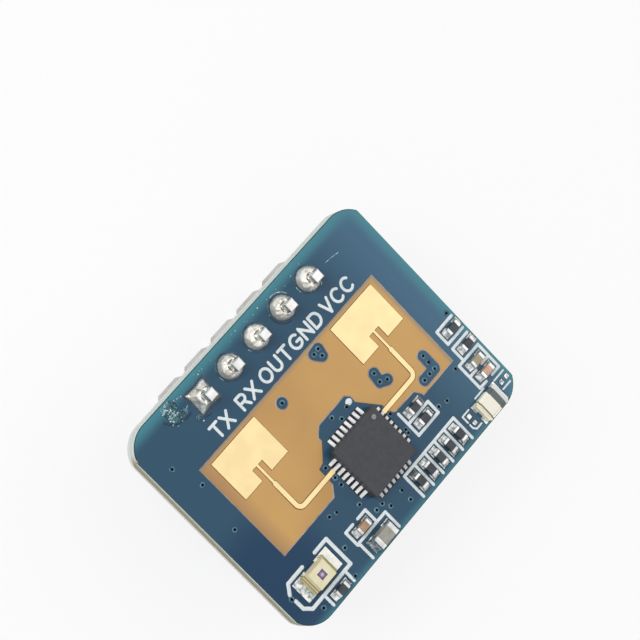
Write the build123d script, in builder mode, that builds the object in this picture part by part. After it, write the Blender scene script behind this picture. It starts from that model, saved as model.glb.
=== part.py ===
from build123d import *
import os

# Microwave radar sensor module: a small two-sided circuit board that stands on a five-pin header.
# Millimetres. The origin is on the middle pin's axis, in the underside of the header's plastic.
# +X runs along the pins, +Y from the board to the edge with the pins, +Z out of the antenna side.
# The header row, the top of the window and the antennas keep their distance from the pins. All
# other places on the board are given as x from the middle pin and height above the lower edge.

os.makedirs("parts", exist_ok=True)

# Circuit board
board_length = 21.7
board_width = 16.6
board_thickness = 1.2
routed_length = 22.0
corner_radius = 2.0
row_offset = 0.1
row_from_edge = 1.55
score_depth = 0.5
mask_margin = 0.05
mask_thickness = 0.04
mask_clearance = 0.04
copper_thickness = 0.04
land_proud = 0.01
ink_thickness = 0.03
ink_width = 0.22
thick_ink_width = 0.27
thin_ink_width = 0.13
row_frame_gap = 0.17

# Header and its solder
pin_names = ["tx", "rx", "out", "gnd", "vcc"]
pin_pitch = 2.54
pin_side = 0.64
pin_below = 4.0
pin_above_board = 1.7
pin_point = 0.16
pin_cut = 0.06
pin_fit = 0.01
insulator_height = 2.54
insulator_depth = 2.54
segment_chamfer = 0.45
plated_hole_radius = 0.5
plating_wall = 0.04
pad_radius = 0.85
joint_height = 0.9
joint_shoulder_height = 0.5
joint_shoulder_radius = 0.74
joint_top_radius = 0.48
blob_middle_height = 0.32
blob_middle_half = 0.64
blob_top_half = 0.45
blob_foot_hollow = 0.1
blob_middle_hollow = 0.22
blob_top_hollow = 0.12

# Bare laminate window and antennas
window_left = -8.5
window_right = 8.42
window_top = -2.83
window_bottom_up = 4.67
window_step = 0.14
window_step_place = 5.3
patch_width = 4.05
patch_height = 3.05
patch_spacing = 11.56
patch_below_window = 0.36
notch_width = 0.93
notch_depth = 0.89
thin_feed_width = 0.16
thin_feed_length = 0.62
feed_width = 0.3
feed_bend_radius = 0.42
feed_clearance = 0.06
island_radius = 0.37

# Radar chip
chip_x = 0.1
chip_up = 4.83
chip_side = 4.0
chip_height = 0.83
chip_standoff = 0.02
chip_lead_count = 8
chip_lead_pitch = 0.4
chip_lead_width = 0.2
chip_lead_length = 0.4
chip_lead_thickness = 0.2
chip_pad_side = 2.7
chip_land_toe = 0.5
chip_land_width = 0.22
chip_edge = 0.05
chip_mark_radius = 0.17
chip_mark_inset = 0.5
chip_mark_depth = 0.03

# Light sensor
sensor_x = -7.85
sensor_up = 2.35
sensor_length = 2.05
sensor_width = 1.35
sensor_base_height = 0.3
sensor_terminal_length = 0.3
sensor_lens_length = 1.5
sensor_lens_height = 0.45
sensor_lens_taper = 6
sensor_die_side = 0.5
sensor_die_height = 0.15
sensor_land_length = 1.2
sensor_land_width = 1.56
sensor_land_span = 3.26

# Chip resistors and capacitors
small_length = 1.0
small_width = 0.5
resistor_height = 0.35
capacitor_height = 0.5
small_end = 0.22
large_length = 1.6
large_width = 0.85
large_height = 0.8
large_end = 0.36
part_edge = 0.04
land_toe = 0.26
land_heel = 0.06
land_side = 0.04
spare_land = 0.3
solder_rise = 0.6
row_count = 5
row_pitch = 1.016
row_first = 1.14
row_up = 1.19

# Quartz crystal
crystal_x = 8.22
crystal_up = 0.92
crystal_length = 2.0
crystal_width = 1.5
crystal_base_height = 0.38
crystal_lid_height = 0.08
crystal_rim = 0.2
crystal_land_length = 0.75
crystal_land_width = 0.55
crystal_land_overhang = 0.18
crystal_corner = 0.12

# Hidden side
controller_x = -3.6
controller_up = 6.85
controller_side = 4.0
controller_height = 0.73
controller_lead_count = 6
controller_lead_pitch = 0.5
controller_lead_width = 0.22
controller_land_width = 0.24
controller_pad_side = 2.4
regulator_x = 6.2
regulator_up = 9.85
regulator_length = 2.9
regulator_width = 1.3
regulator_height = 0.95
regulator_gap = 0.08
regulator_span = 2.4
regulator_lead_width = 0.4
regulator_lead_pitch = 0.95
regulator_foot = 0.35
regulator_leaf = 0.13
regulator_land_length = 0.8
regulator_land_width = 0.6

# Levels, from the seat of the header up
mask_back = insulator_height
board_back = mask_back + mask_thickness
board_front = board_back + board_thickness
mask_front = board_front + mask_thickness
land_front = mask_front + land_proud
land_back = mask_back - land_proud
land_thickness = mask_thickness + land_proud

# Places that several pieces share
board_x = -row_offset
board_y = row_from_edge - board_width / 2
board_bottom = row_from_edge - board_width
board_left = board_x - board_length / 2
board_right = board_x + board_length / 2
window_bottom = board_bottom + window_bottom_up
chip_y = board_bottom + chip_up
sensor_y = board_bottom + sensor_up
crystal_y = board_bottom + crystal_up
controller_y = board_bottom + controller_up
regulator_y = board_bottom + regulator_up
row_ends = (len(pin_names) - 1) * pin_pitch / 2
pin_row = [(i * pin_pitch - row_ends, 0) for i in range(len(pin_names))]
drill_radius = plated_hole_radius + plating_wall
feed_y = chip_y + (chip_lead_count / 2 - 1.5) * chip_lead_pitch
patch_top = window_top - patch_below_window
patch_y = patch_top - patch_height / 2
patch_bottom = patch_top - patch_height
step_y = patch_bottom - thin_feed_length
feed_end = chip_side / 2 + chip_land_toe


def seat(x, up, turned=False, back=False):
    """The plane a part stands on, at a height above the lower edge: its x runs along the part."""
    y = board_bottom + up
    along = (0, 1, 0) if turned else (1, 0, 0)
    if back:
        return Plane(origin=(x, y, land_back), x_dir=along, z_dir=(0, 0, -1))
    return Plane(origin=(x, y, land_front), x_dir=along, z_dir=(0, 0, 1))


def from_edge(points):
    """Turns heights above the board's lower edge into y places."""
    return [(x, board_bottom + up) for x, up in points]


def keep(piece, name):
    """Labels a finished piece and writes its file."""
    piece.part.label = name
    export_step(piece.part, f"parts/{name}.step")


resistor_seats = {
    "sensor_resistor": seat(-7.45, 0.6),
    "chip_resistor_1": seat(4.25, 4.56),
    "chip_resistor_2": seat(4.25, 3.62),
    "edge_resistor_1": seat(9.86, 6.03),
    "edge_resistor_2": seat(9.86, 4.6),
}
for number in range(row_count):
    place = row_first + number * row_pitch
    resistor_seats[f"row_resistor_{number + 1}"] = seat(place, row_up, turned=True)
capacitor_seats = {
    "small_capacitor": seat(-3.68, 2.15),
    "edge_capacitor_1": seat(9.48, 3.48),
    "edge_capacitor_2": seat(9.48, 2.53),
}
large_seat = seat(-3.15, 0.8)
rear_resistor_seats = {
    "rear_resistor_1": seat(0.6, 7.85, turned=True, back=True),
    "rear_resistor_2": seat(1.7, 7.85, turned=True, back=True),
}
rear_capacitor_seats = {
    "rear_capacitor_1": seat(0.6, 5.45, turned=True, back=True),
    "rear_capacitor_2": seat(-3.6, 3.45, back=True),
}
rear_large_seats = {
    "rear_capacitor_3": seat(3.4, 9.85, turned=True, back=True),
    "rear_capacitor_4": seat(9.0, 9.85, turned=True, back=True),
}


def feed_points(side, start):
    """The wide feed line of one antenna, from a height on its patch's middle line to the chip."""
    patch_x = chip_x + side * patch_spacing / 2
    return [(patch_x, start), (patch_x, feed_y), (chip_x + side * feed_end, feed_y)]


def board_outline(inset):
    """The board's outline, drawn in by inset: its short ends are scored off through the round corners."""
    with BuildSketch() as outline:
        with Locations((0, board_y)):
            RectangleRounded(routed_length - 2 * inset, board_width - 2 * inset, corner_radius - inset)
        with Locations((board_x, board_y)):
            Rectangle(board_length - 2 * inset, board_width, mode=Mode.INTERSECT)
    return outline.sketch


def end_lands(base, length, end, width):
    """Centres and sizes of the two lands of a two-ended part, on the board's plane."""
    land_length = end + land_heel + land_toe
    reach = length / 2 + land_toe - land_length / 2
    turned = abs(base.x_dir.Y) > 0.5
    size = (width + 2 * land_side, land_length) if turned else (land_length, width + 2 * land_side)
    lands = []
    for side in (-1, 1):
        centre = base.origin + base.x_dir * (side * reach)
        lands.append((centre.X, centre.Y, *size))
    return lands


def quad_lands(x, y, body, leads, pitch, width, length, toe, pad):
    """Centres and sizes of the lands of a leadless chip, with its middle pad."""
    land_length = length + toe
    reach = body / 2 + toe - land_length / 2
    lands = [(x, y, pad, pad)]
    for i in range(leads):
        step = (i - (leads - 1) / 2) * pitch
        lands.append((x - reach, y + step, land_length, width))
        lands.append((x + reach, y + step, land_length, width))
        lands.append((x + step, y - reach, width, land_length))
        lands.append((x + step, y + reach, width, land_length))
    return lands


def quad_openings(x, y, body, leads, pitch, width, length, toe, pad):
    """Centres and sizes of a leadless chip's mask openings: one a row of lands, and the pad's."""
    land_length = length + toe
    reach = body / 2 + toe - land_length / 2
    span = (leads - 1) * pitch + width
    return [(x, y, pad, pad), (x - reach, y, land_length, span), (x + reach, y, land_length, span),
            (x, y - reach, span, land_length), (x, y + reach, span, land_length)]


chip_pattern = (chip_x, chip_y, chip_side, chip_lead_count, chip_lead_pitch, chip_land_width,
                chip_lead_length, chip_land_toe, chip_pad_side)
front_part_lands = []
for base in list(resistor_seats.values()) + list(capacitor_seats.values()):
    front_part_lands += end_lands(base, small_length, small_end, small_width)
front_part_lands += end_lands(large_seat, large_length, large_end, large_width)
for side in (-1, 1):
    reach = side * (sensor_land_span - sensor_land_length) / 2
    front_part_lands.append((sensor_x + reach, sensor_y, sensor_land_length, sensor_land_width))
crystal_reach_x = crystal_length / 2 + crystal_land_overhang - crystal_land_length / 2
crystal_reach_y = crystal_width / 2 - crystal_land_width / 2
for side in (-1, 1):
    for end in (-1, 1):
        front_part_lands.append((crystal_x + side * crystal_reach_x, crystal_y + end * crystal_reach_y,
                                 crystal_land_length, crystal_land_width))
for x, y in from_edge([(6.55, 1.37), (6.55, 0.83), (9.81, 1.2), (10.35, 1.2)]):
    front_part_lands.append((x, y, spare_land, spare_land))
front_land_places = quad_lands(*chip_pattern) + front_part_lands
front_openings = quad_openings(*chip_pattern) + front_part_lands

controller_pattern = (controller_x, controller_y, controller_side, controller_lead_count,
                      controller_lead_pitch, controller_land_width, chip_lead_length, chip_land_toe,
                      controller_pad_side)
rear_part_lands = []
for base in list(rear_resistor_seats.values()) + list(rear_capacitor_seats.values()):
    rear_part_lands += end_lands(base, small_length, small_end, small_width)
for base in rear_large_seats.values():
    rear_part_lands += end_lands(base, large_length, large_end, large_width)
regulator_land_reach = (regulator_span - regulator_foot) / 2 + land_heel
regulator_feet = [(-regulator_lead_pitch, -1), (regulator_lead_pitch, -1), (0, 1)]
for step, side in regulator_feet:
    rear_part_lands.append((regulator_x + step, regulator_y + side * regulator_land_reach,
                            regulator_land_width, regulator_land_length))
rear_land_places = quad_lands(*controller_pattern) + rear_part_lands
rear_openings = quad_openings(*controller_pattern) + rear_part_lands


def draw_lands(lands, grow=0.0, mode=Mode.ADD):
    """Draws lands in the open sketch, each grown on every side."""
    for x, y, length, width in lands:
        with Locations((x, y)):
            Rectangle(length + 2 * grow, width + 2 * grow, mode=mode)


def draw_pads(squares, rounds, grow=0.0, mode=Mode.ADD):
    """Draws the square and the round pads of the pins in the open sketch, each grown on every side."""
    half = pad_radius + grow
    with Locations(*squares):
        Rectangle(2 * half, 2 * half, mode=mode)
    if rounds:
        with Locations(*rounds):
            Circle(half, mode=mode)


front_pads = (pin_row[:1], pin_row[1:])
rear_pads = (pin_row, [])

# Laminate, with scored short ends that keep a rough web at half thickness
with BuildPart() as circuit_board:
    with BuildSketch(Plane.XY.offset(board_back)):
        add(board_outline(0))
    extrude(amount=board_thickness)
    with BuildSketch(Plane.XZ.offset(-row_from_edge)):
        with BuildLine():
            Polyline((board_left + mask_margin, board_back), (board_left, board_back + score_depth),
                     (board_left, board_front - score_depth), (board_left + mask_margin, board_front),
                     (board_right - mask_margin, board_front), (board_right, board_front - score_depth),
                     (board_right, board_back + score_depth), (board_right - mask_margin, board_back),
                     close=True)
        make_face()
    extrude(amount=board_width, mode=Mode.INTERSECT)
    with BuildSketch(Plane.XY.offset(board_back)):
        with Locations(*pin_row):
            Circle(drill_radius)
    extrude(amount=board_thickness, mode=Mode.SUBTRACT)
keep(circuit_board, "circuit_board")

# Plated holes: a barrel through the board and a pad on each face. On the front only the first pin's
# pad is square, and under the header all are.
with BuildPart() as hole_plating:
    with BuildSketch(Plane.XY.offset(mask_back)):
        with Locations(*pin_row):
            Circle(drill_radius)
            Circle(plated_hole_radius, mode=Mode.SUBTRACT)
    extrude(amount=mask_front - mask_back)
    for level, pads in ((mask_back, rear_pads), (board_front, front_pads)):
        with BuildSketch(Plane.XY.offset(level)):
            draw_pads(*pads)
            with Locations(*pin_row):
                Circle(plated_hole_radius, mode=Mode.SUBTRACT)
        extrude(amount=mask_thickness)
keep(hole_plating, "hole_plating")


# Front mask: the window bares the laminate round the antennas, and a blue apron carries the chip.
# Wherever the mask comes near the antennas it keeps clear of their copper.
island_runs = [
    [(-1.76, 11.08)],
    [(1.94, 11.58), (2.39, 11.63), (2.28, 11.16), (1.94, 11.58)],
    [(3.93, 7.91), (3.82, 7.28), (4.3, 7.02)],
    [(7.12, 6.24), (7.12, 5.15), (6.07, 5.15)],
]
apron_top = 8.38
apron_corners = [
    (-3.6, window_bottom_up), (-3.06, 5.3), (-3.03, 6.55), (-2.57, 6.65), (-1.62, 7.6), (-1.62, 7.9),
    (-1.05, apron_top), (1.45, apron_top), (1.71, 8.1), (1.71, 7.65), (2.86, 6.2), (2.92, 5.5),
    (3.2, 5.23), (5.0, 5.17), (window_step_place, window_bottom_up),
]
with BuildPart() as front_mask:
    with BuildSketch(Plane.XY.offset(board_front)):
        add(board_outline(mask_margin))
        with BuildLine():
            Polyline((window_left, window_top), (window_right, window_top),
                     (window_right, window_bottom - window_step),
                     (window_step_place, window_bottom - window_step), *reversed(from_edge(apron_corners)),
                     (window_left, window_bottom), close=True)
        make_face(mode=Mode.SUBTRACT)
        for run in map(from_edge, island_runs):
            with Locations(run[0]):
                Circle(island_radius)
            for start, finish in zip(run, run[1:]):
                middle = (Vector(start) + Vector(finish)) / 2
                SlotCenterPoint(middle, finish, 2 * island_radius)
        for side in (-1, 1):
            with Locations((chip_x + side * patch_spacing / 2, patch_y)):
                Rectangle(patch_width + 2 * feed_clearance, patch_height + 2 * feed_clearance,
                          mode=Mode.SUBTRACT)
            with BuildLine():
                FilletPolyline(*feed_points(side, patch_y), radius=feed_bend_radius)
            trace(line_width=feed_width + 2 * feed_clearance, mode=Mode.SUBTRACT)
        draw_lands(front_openings, mask_clearance, Mode.SUBTRACT)
        draw_pads(*front_pads, mask_clearance, Mode.SUBTRACT)
    extrude(amount=mask_thickness)
keep(front_mask, "front_mask")

with BuildPart() as rear_mask:
    with BuildSketch(Plane.XY.offset(mask_back)):
        add(board_outline(mask_margin))
        draw_lands(rear_openings, mask_clearance, Mode.SUBTRACT)
        draw_pads(*rear_pads, mask_clearance, Mode.SUBTRACT)
    extrude(amount=mask_thickness)
keep(rear_mask, "rear_mask")

with BuildPart() as front_lands:
    with BuildSketch(Plane.XY.offset(board_front)):
        draw_lands(front_land_places)
    extrude(amount=land_thickness)
keep(front_lands, "front_lands")

with BuildPart() as rear_lands:
    with BuildSketch(Plane.XY.offset(land_back)):
        draw_lands(rear_land_places)
    extrude(amount=land_thickness)
keep(rear_lands, "rear_lands")

# Antennas: a patch with a notched feed, a thin line, a wide line and a round bend to the chip
for name, side in (("antenna_left", -1), ("antenna_right", 1)):
    patch_x = chip_x + side * patch_spacing / 2
    with BuildPart() as antenna:
        with BuildSketch(Plane.XY.offset(board_front)):
            with Locations((patch_x, patch_y)):
                Rectangle(patch_width, patch_height)
            with Locations((patch_x, patch_bottom + notch_depth / 2)):
                Rectangle(notch_width, notch_depth, mode=Mode.SUBTRACT)
            with Locations((patch_x, (patch_bottom + notch_depth + step_y) / 2)):
                Rectangle(thin_feed_width, patch_bottom + notch_depth - step_y)
            with BuildLine():
                FilletPolyline(*feed_points(side, step_y), radius=feed_bend_radius)
            trace(line_width=feed_width)
        extrude(amount=copper_thickness)
    keep(antenna, name)


# White ink: frames round the parts, drawn as lines on the front mask
thick_frames = [
    [(-6.98, 3.39), (-5.85, 3.39), (-5.85, 1.18), (-9.57, 1.18), (-9.99, 1.65), (-9.99, 2.31)],
    [(-9.99, 2.85), (-9.57, 3.39), (-8.2, 3.39)],
]
thin_frames = [
    [(-8.46, 1.15), (-8.46, 0.25)],
    [(-6.44, 1.15), (-6.44, 0.25)],
    [(-4.0, 2.67), (-4.69, 2.67), (-4.69, 1.6), (-4.55, 1.45), (-4.55, 0.25)],
    [(-3.5, 2.67), (-2.74, 2.67), (-2.74, 1.65)],
    [(-4.65, 1.6), (-1.9, 1.6), (-1.9, 0.25)],
    [(3.22, 5), (3.22, 3.11), (5.24, 3.11), (5.24, 4.15)],
    [(3.3, 4.09), (5.2, 4.09)],
    [(10.5, 6.56), (8.92, 6.56), (8.92, 5.49), (10.5, 5.49)],
    [(10.5, 5.07), (8.92, 5.07), (8.92, 4.05)],
    [(9.12, 2.01), (8.44, 2.01), (8.44, 4.01), (10.41, 4.01), (10.41, 2.01), (9.66, 2.01)],
    [(8.5, 3), (9.12, 3)],
    [(9.66, 3), (10.4, 3)],
]
thin_marks = [
    [(6.88, 1.69), (6.2, 1.69), (6.2, 1.17)],
    [(6.2, 0.97), (6.2, 0.69), (6.38, 0.47), (6.9, 0.47)],
    [(7.7, 1.83), (8.6, 1.83)],
    [(9.45, 1.63), (10.5, 1.63)],
    [(9.55, 0.8), (10.3, 0.8)],
]
row_frame_reach = small_length / 2 + land_toe + row_frame_gap
row_frame = []
for number in range(row_count + 1):
    place = row_first + (number - 0.5) * row_pitch
    row_frame.append([(place, row_up + row_frame_reach), (place, row_up - row_frame_reach)])
row_frame_ends = (row_first - 0.5 * row_pitch, row_first + (row_count - 0.5) * row_pitch)
row_frame_top = row_up + row_frame_reach
row_frame.append([(row_frame_ends[0] - ink_width / 2, row_frame_top),
                  (row_frame_ends[1] + ink_width / 2, row_frame_top)])
pin_one_dot = (1.41, 7.95)
pin_one_dot_radius = 0.24

with BuildPart() as ink_frames:
    with BuildSketch(Plane.XY.offset(mask_front)):
        for runs, width in ((thick_frames, thick_ink_width), (thin_frames + row_frame, ink_width),
                            (thin_marks, thin_ink_width)):
            for run in runs:
                with BuildLine():
                    Polyline(*from_edge(run))
                trace(line_width=width)
        with Locations(*from_edge([pin_one_dot])):
            Circle(pin_one_dot_radius)
    extrude(amount=ink_thickness)
keep(ink_frames, "ink_frames")

# Header plastic: one moulding of square segments with chamfered corners, pierced for the pins
with BuildSketch() as segment:
    Rectangle(pin_pitch, insulator_depth)
    chamfer(segment.vertices(), segment_chamfer)
with BuildPart() as header_insulator:
    with BuildSketch():
        with Locations(*pin_row):
            add(segment.sketch)
            Rectangle(pin_side + 2 * pin_fit, pin_side + 2 * pin_fit, mode=Mode.SUBTRACT)
    extrude(amount=insulator_height)
keep(header_insulator, "header_insulator")

# Square pins with pointed ends, one to a name
pin_top = board_front + pin_above_board
for pin_name, place in zip(pin_names, pin_row):
    with BuildPart() as header_pin:
        with BuildSketch(Plane.XY.offset(-pin_below)):
            with Locations(place):
                Rectangle(pin_side, pin_side)
        extrude(amount=pin_below + pin_top)
        chamfer(header_pin.faces().sort_by(Axis.Z)[0].edges(), pin_point)
        chamfer(header_pin.faces().sort_by(Axis.Z)[-1].edges(), pin_cut)
    keep(header_pin, f"pin_{pin_name}")


# Solder round the pins: shouldered domes, and a hollow-sided blob on the square pad
with BuildPart() as round_solder_joints:
    for x, y in pin_row[1:]:
        with BuildSketch(Plane.XZ):
            with BuildLine():
                Polyline((x, mask_front), (x + pad_radius, mask_front),
                         (x + joint_shoulder_radius, mask_front + joint_shoulder_height),
                         (x + joint_top_radius, mask_front + joint_height),
                         (x, mask_front + joint_height), close=True)
            make_face()
        revolve(axis=Axis((x, y, 0), (0, 0, 1)))
    with BuildSketch(Plane.XY.offset(mask_back)):
        with Locations(*pin_row[1:]):
            Circle(plated_hole_radius)
    extrude(amount=mask_front - mask_back)
    with BuildSketch(Plane.XY.offset(mask_back)):
        with Locations(*pin_row[1:]):
            Rectangle(pin_side, pin_side)
    extrude(amount=pin_top - mask_back, mode=Mode.SUBTRACT)
keep(round_solder_joints, "round_solder_joints")

blob_sections = (
    (0.0, pad_radius, blob_foot_hollow),
    (blob_middle_height, blob_middle_half, blob_middle_hollow),
    (joint_height, blob_top_half, blob_top_hollow),
)
with BuildPart() as square_solder_joint:
    for level, half, hollow in blob_sections:
        with BuildSketch(Plane.XY.offset(mask_front + level)):
            with BuildLine():
                for turn in range(4):
                    middle = Vector(*pin_row[0])
                    start = middle + Vector(half, half).rotate(Axis.Z, 90 * turn)
                    side = middle + Vector(0, half * (1 - hollow)).rotate(Axis.Z, 90 * turn)
                    finish = middle + Vector(-half, half).rotate(Axis.Z, 90 * turn)
                    ThreePointArc(start, side, finish)
            make_face()
    loft(ruled=True)
    with BuildSketch(Plane.XY.offset(mask_back)):
        with Locations(pin_row[0]):
            Circle(plated_hole_radius)
    extrude(amount=mask_front - mask_back)
    with BuildSketch(Plane.XY.offset(mask_back)):
        with Locations(pin_row[0]):
            Rectangle(pin_side, pin_side)
    extrude(amount=pin_top - mask_back, mode=Mode.SUBTRACT)
keep(square_solder_joint, "square_solder_joint")


def draw_leads(side, leads, pitch, width, length):
    """Draws the leads round the rim of a square chip in the open sketch."""
    reach = (side - length) / 2
    for i in range(leads):
        step = (i - (leads - 1) / 2) * pitch
        with Locations((-reach, step), (reach, step)):
            Rectangle(length, width)
        with Locations((step, -reach), (step, reach)):
            Rectangle(width, length)


def make_quad_chip(name, base, side, height, leads, pitch, width, pad, mark):
    """A leadless chip: its moulded body, its leads with the middle pad, and their solder."""
    with BuildPart() as metal:
        with BuildSketch(base):
            draw_leads(side, leads, pitch, width, chip_lead_length)
            Rectangle(pad, pad)
        extrude(amount=chip_lead_thickness)
    keep(metal, f"{name}_leads")
    with BuildPart() as body:
        with BuildSketch(base.offset(chip_standoff)):
            Rectangle(side, side)
        extrude(amount=height)
        top = body.faces().sort_by(Axis(base.origin, base.z_dir))[-1]
        chamfer(top.edges(), chip_edge)
        with BuildSketch(base.offset(chip_standoff + height)):
            with Locations(mark):
                Circle(chip_mark_radius)
        extrude(amount=-chip_mark_depth, mode=Mode.SUBTRACT)
        with BuildSketch(base):
            draw_leads(side, leads, pitch, width, chip_lead_length)
            Rectangle(pad, pad)
        extrude(amount=chip_lead_thickness, mode=Mode.SUBTRACT)
    keep(body, f"{name}_body")
    with BuildPart() as solder:
        for quarter in range(4):
            along = base.x_dir.rotate(Axis((0, 0, 0), base.z_dir), 90 * quarter)
            across = base.z_dir.cross(along)
            for i in range(leads):
                step = (i - (leads - 1) / 2) * pitch
                upright = Plane(origin=base.origin + across * step, x_dir=along, z_dir=-across)
                with BuildSketch(upright):
                    Polygon((side / 2, 0), (side / 2 + chip_land_toe, 0), (side / 2, chip_lead_thickness),
                            align=None)
                extrude(amount=width / 2, both=True)
    keep(solder, f"{name}_solder")


chip_mark_place = chip_side / 2 - chip_mark_inset
make_quad_chip("radar_chip", seat(chip_x, chip_up), chip_side, chip_height, chip_lead_count,
               chip_lead_pitch, chip_lead_width, chip_pad_side, (chip_mark_place, chip_mark_place))
controller_mark_place = controller_side / 2 - chip_mark_inset
make_quad_chip("microcontroller", seat(controller_x, controller_up, back=True), controller_side,
               controller_height, controller_lead_count, controller_lead_pitch,
               controller_lead_width, controller_pad_side,
               (controller_mark_place, controller_mark_place))


def make_body(name, base, length, width, height, end):
    """The ceramic of a two-ended part, a little slimmer than its metal ends."""
    with BuildPart() as ceramic:
        with BuildSketch(base):
            Rectangle(length - 2 * end, width - part_edge)
        extrude(amount=height - part_edge / 2)
    keep(ceramic, name)


def end_pair(base, length, width, height, end):
    """The two metal ends of a part, with their upper edges eased."""
    with BuildPart() as ends:
        with BuildSketch(base):
            with Locations(((end - length) / 2, 0), ((length - end) / 2, 0)):
                Rectangle(end, width)
        extrude(amount=height)
        chamfer(ends.faces().sort_by(Axis(base.origin, base.z_dir))[-2:].edges(), part_edge)
    return ends.part


def solder_pair(base, length, width, height):
    """The sloping solder at the two ends of a part."""
    with BuildPart() as solder:
        for side in (-1, 1):
            upright = Plane(origin=base.origin, x_dir=base.x_dir * side, z_dir=base.y_dir * -side)
            with BuildSketch(upright):
                Polygon((length / 2, 0), (length / 2 + land_toe, 0), (length / 2, solder_rise * height),
                        align=None)
            extrude(amount=width / 2, both=True)
    return solder.part


families = (
    (resistor_seats, small_length, small_width, resistor_height, small_end),
    (capacitor_seats, small_length, small_width, capacitor_height, small_end),
    ({"large_capacitor": large_seat}, large_length, large_width, large_height, large_end),
)
rear_families = (
    (rear_resistor_seats, small_length, small_width, resistor_height, small_end),
    (rear_capacitor_seats, small_length, small_width, capacitor_height, small_end),
    (rear_large_seats, large_length, large_width, large_height, large_end),
)
for seats, length, width, height, end in families + rear_families:
    for name, base in seats.items():
        make_body(name, base, length, width, height, end)

for name, group in (("resistor_ends", families[:1]), ("capacitor_ends", families[1:]),
                    ("rear_part_ends", rear_families)):
    pairs = []
    for seats, length, width, height, end in group:
        pairs += [end_pair(base, length, width, height, end) for base in seats.values()]
    with BuildPart() as metal_ends:
        add(pairs)
    keep(metal_ends, name)

for name, group in (("front_part_solder", families), ("rear_part_solder", rear_families)):
    pairs = []
    for seats, length, width, height, end in group:
        pairs += [solder_pair(base, length, width, height) for base in seats.values()]
    with BuildPart() as part_solder:
        add(pairs)
    keep(part_solder, name)

# Light sensor: a small base with a metal terminal at each end, the die, and a clear block over it
sensor_seat = seat(sensor_x, sensor_up)
sensor_top = sensor_seat.offset(sensor_base_height)
with BuildPart() as light_sensor_base:
    with BuildSketch(sensor_seat):
        Rectangle(sensor_length - 2 * sensor_terminal_length, sensor_width)
    extrude(amount=sensor_base_height)
keep(light_sensor_base, "light_sensor_base")

with BuildPart() as light_sensor_terminals:
    with BuildSketch(sensor_seat):
        with Locations((-(sensor_length - sensor_terminal_length) / 2, 0),
                       ((sensor_length - sensor_terminal_length) / 2, 0)):
            Rectangle(sensor_terminal_length, sensor_width)
    extrude(amount=sensor_base_height)
keep(light_sensor_terminals, "light_sensor_terminals")

with BuildPart() as light_sensor_die:
    with BuildSketch(sensor_top):
        Rectangle(sensor_die_side, sensor_die_side)
    extrude(amount=sensor_die_height)
keep(light_sensor_die, "light_sensor_die")

with BuildPart() as light_sensor_window:
    with BuildSketch(sensor_top):
        Rectangle(sensor_lens_length, sensor_width)
    extrude(amount=sensor_lens_height, taper=sensor_lens_taper)
    with BuildSketch(sensor_top):
        Rectangle(sensor_die_side, sensor_die_side)
    extrude(amount=sensor_die_height, mode=Mode.SUBTRACT)
keep(light_sensor_window, "light_sensor_window")

# Crystal: a ceramic tray with hollowed corners and a metal lid
crystal_seat = seat(crystal_x, crystal_up)
with BuildPart() as crystal_base:
    with BuildSketch(crystal_seat):
        Rectangle(crystal_length, crystal_width)
        with GridLocations(crystal_length, crystal_width, 2, 2):
            Circle(crystal_corner, mode=Mode.SUBTRACT)
    extrude(amount=crystal_base_height)
keep(crystal_base, "crystal_base")

with BuildPart() as crystal_lid:
    with BuildSketch(crystal_seat.offset(crystal_base_height)):
        RectangleRounded(crystal_length - 2 * crystal_rim, crystal_width - 2 * crystal_rim, crystal_corner)
    extrude(amount=crystal_lid_height)
keep(crystal_lid, "crystal_lid")

# Voltage regulator on the hidden side: a moulded body and three bent leads
regulator_seat = seat(regulator_x, regulator_up, back=True)
regulator_lead_level = regulator_gap + regulator_height / 2
with BuildPart() as regulator_body:
    with BuildSketch(regulator_seat.offset(regulator_gap)):
        Rectangle(regulator_length, regulator_width)
    extrude(amount=regulator_height)
    chamfer(regulator_body.faces().sort_by(Axis.Z)[0].edges(), chip_edge)
keep(regulator_body, "regulator_body")

with BuildPart() as regulator_leads:
    for step, side in regulator_feet:
        upright = Plane(origin=(regulator_x + step, regulator_y, land_back), x_dir=(0, side, 0),
                        z_dir=(-side, 0, 0))
        with BuildSketch(upright):
            with BuildLine():
                Polyline((regulator_width / 2, regulator_lead_level),
                         (regulator_span / 2 - regulator_foot, regulator_lead_level),
                         (regulator_span / 2 - regulator_foot, regulator_leaf / 2),
                         (regulator_span / 2, regulator_leaf / 2))
            trace(line_width=regulator_leaf)
        extrude(amount=regulator_lead_width / 2, both=True)
keep(regulator_leads, "regulator_leads")
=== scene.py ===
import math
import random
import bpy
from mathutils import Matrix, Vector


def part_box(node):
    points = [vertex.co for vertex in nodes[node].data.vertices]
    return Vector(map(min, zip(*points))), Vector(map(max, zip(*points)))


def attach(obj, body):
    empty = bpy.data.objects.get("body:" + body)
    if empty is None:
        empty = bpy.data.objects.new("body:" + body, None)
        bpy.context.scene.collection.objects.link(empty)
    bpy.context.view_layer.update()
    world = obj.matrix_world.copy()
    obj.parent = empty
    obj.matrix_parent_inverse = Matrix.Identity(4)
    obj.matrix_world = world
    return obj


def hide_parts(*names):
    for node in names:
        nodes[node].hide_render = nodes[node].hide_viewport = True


bl_info = {
    "name": "Radar Sensor Module Looks",
    "version": (1, 0, 0),
    "blender": (4, 5, 0),
    "location": "View3D > Sidebar > Radar Module",
    "description": "Finishes a small radar sensor board: print, solder, vias, materials and a plain studio",
    "category": "Object",
}

import bmesh
import bpy
from bpy.props import FloatProperty, FloatVectorProperty, IntProperty, PointerProperty
from mathutils import Matrix, Vector, noise

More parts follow.
